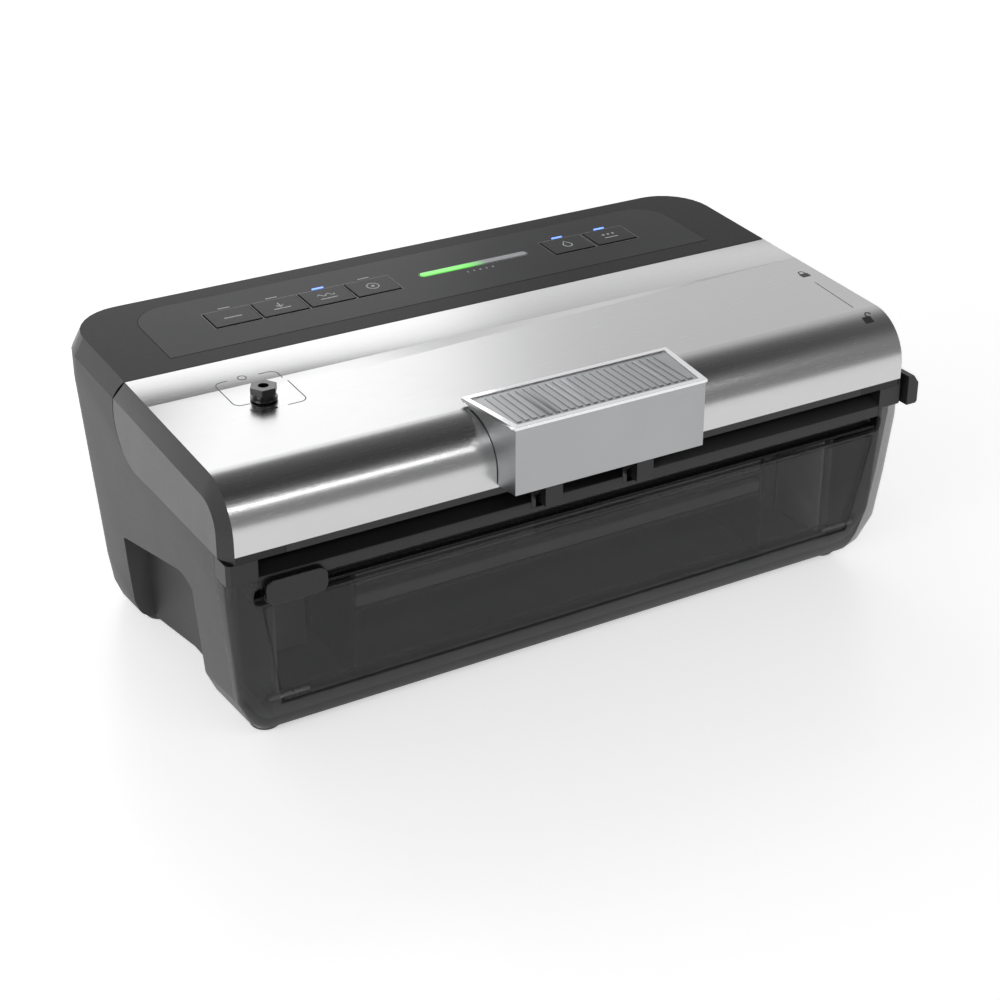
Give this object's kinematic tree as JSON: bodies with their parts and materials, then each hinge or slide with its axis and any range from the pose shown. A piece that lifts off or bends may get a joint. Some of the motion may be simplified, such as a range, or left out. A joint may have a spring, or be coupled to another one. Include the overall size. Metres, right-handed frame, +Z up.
{
  "type": "vacuum sealer",
  "caption": "countertop vacuum sealer with a hinged steel lid, box latch handle, rear button panel, pull-out drip tray, bag cutter and a drop-down door over a roll store",
  "frame": {"origin": "on the surface that it stands on, under the middle of its overall outline", "axes": "+X to the right along the lid's width, +Y to the back, +Z up"},
  "size_m": [0.412, 0.2303, 0.1579],
  "materials": {
    "housing": "fine moulded grain",
    "cover": "satin",
    "panel": "gloss",
    "keys": "satin gloss",
    "circuit_board": "solder mask",
    "deck_black": "fine moulded grain",
    "tray_black": "fine moulded grain",
    "rail_black": "semi-gloss",
    "end_cap": "gloss on the bevel, satin on the side",
    "knob_black": "gloss",
    "smoke": "smoky, slightly see-through",
    "steel": "brushed along its width",
    "blade": "ground edge",
    "pin_steel": "turned",
    "silver": "satin silver",
    "bright": "polished",
    "pad_silver": "satin silver, ribbed",
    "pump_grey": "moulded",
    "motor_can": "plated",
    "crank_brass": "turned",
    "hose": "clear silicone tube",
    "winding": "taped coil",
    "foam": "closed-cell foam",
    "silicone": "silicone",
    "rubber_black": "moulded rubber",
    "ptfe": "woven glass tape with PTFE",
    "indicator_light": "lit light pipe",
    "progress_light": "lit bar"
  },
  "bodies": {
    "base": {"base_shell": "housing", "top_housing": "cover", "control_panel": "panel", "progress_bar": "progress_light", "button_leds": "indicator_light", "control_board": "circuit_board", "deck": "deck_black", "bag_ledge": "deck_black", "lower_gasket": "foam", "heating_strip": "ptfe", "front_frame": "smoke", "door_pins": "pin_steel", "roll_tub": "deck_black", "cutter_rail": "rail_black", "lid_springs": "pin_steel", "latch_catches": "rail_black", "vacuum_pump": "pump_grey", "pump_motor": "motor_can", "vacuum_hose": "hose", "power_board": "circuit_board", "transformer": "winding", "lid_switch": "rail_black", "bottom_plate": "housing", "bottom_screws": "pin_steel", "feet": "rubber_black", "cord_gland": "rubber_black"},
    "lid": {"lid_skin": "steel", "lid_frame": "deck_black", "lid_end_left": "end_cap", "lid_end_right": "end_cap", "lid_pins": "pin_steel", "press_bar": "silicone", "upper_gasket": "foam", "port_valve": "rail_black", "port_seal": "rubber_black"},
    "handle": {"latch_handle": "silver", "handle_trim": "bright", "handle_pad": "pad_silver", "handle_pin": "pin_steel", "latch_hooks": "rail_black"},
    "knob": {"port_knob": "knob_black"},
    "door": {"roll_door": "smoke"},
    "cutter": {"cutter_slider": "rail_black", "cutter_grip": "rail_black", "cutter_blade": "blade"},
    "tray": {"drip_tray": "tray_black"},
    "crank": {"motor_crank": "crank_brass"},
    "key_seal": {"button_seal": "keys"},
    "key_vacuum": {"button_vacuum": "keys"},
    "key_gentle": {"button_gentle": "keys"},
    "key_accessory": {"button_accessory": "keys"},
    "key_moist": {"button_moist": "keys"},
    "key_mode": {"button_mode": "keys"}
  },
  "joints": [
    {"name": "lid_hinge", "type": "hinge", "parent": "base", "child": "lid", "pos_m": [-0.006, 0.0122, 0.1334], "axis": [-1, 0, 0], "range_deg": [0, 75]},
    {"name": "handle_pivot", "type": "hinge", "parent": "lid", "child": "handle", "pos_m": [-0.006, -0.0737, 0.1492], "axis": [-1, 0, 0], "range_deg": [0, 35]},
    {"name": "knob_turn", "type": "hinge", "parent": "lid", "child": "knob", "pos_m": [-0.149, -0.022, 0.155], "axis": [0, 0, 1], "range_deg": [0, 90]},
    {"name": "door_hinge", "type": "hinge", "parent": "base", "child": "door", "pos_m": [-0.006, -0.0895, 0.0264], "axis": [1, 0, 0], "range_deg": [0, 85]},
    {"name": "cutter_slide", "type": "slide", "parent": "base", "child": "cutter", "axis": [1, 0, 0], "range_m": [0, 0.332]},
    {"name": "tray_slide", "type": "slide", "parent": "base", "child": "tray", "axis": [1, 0, 0], "range_m": [0, 0.15]},
    {"name": "crank_spin", "type": "hinge", "parent": "base", "child": "crank", "pos_m": [-0.095, 0.062, 0.071], "axis": [1, 0, 0], "continuous": true},
    {"name": "press_seal", "type": "slide", "parent": "base", "child": "key_seal", "axis": [0, 0.0506, -0.9987], "range_m": [0, 0.001], "stiffness_N_per_m": 600, "springref_m": -0.001},
    {"name": "press_vacuum", "type": "slide", "parent": "base", "child": "key_vacuum", "axis": [0, 0.0506, -0.9987], "range_m": [0, 0.001], "stiffness_N_per_m": 600, "springref_m": -0.001},
    {"name": "press_gentle", "type": "slide", "parent": "base", "child": "key_gentle", "axis": [0, 0.0506, -0.9987], "range_m": [0, 0.001], "stiffness_N_per_m": 600, "springref_m": -0.001},
    {"name": "press_accessory", "type": "slide", "parent": "base", "child": "key_accessory", "axis": [0, 0.0506, -0.9987], "range_m": [0, 0.001], "stiffness_N_per_m": 600, "springref_m": -0.001},
    {"name": "press_moist", "type": "slide", "parent": "base", "child": "key_moist", "axis": [0, 0.0506, -0.9987], "range_m": [0, 0.001], "stiffness_N_per_m": 600, "springref_m": -0.001},
    {"name": "press_mode", "type": "slide", "parent": "base", "child": "key_mode", "axis": [0, 0.0506, -0.9987], "range_m": [0, 0.001], "stiffness_N_per_m": 600, "springref_m": -0.001}
  ]
}
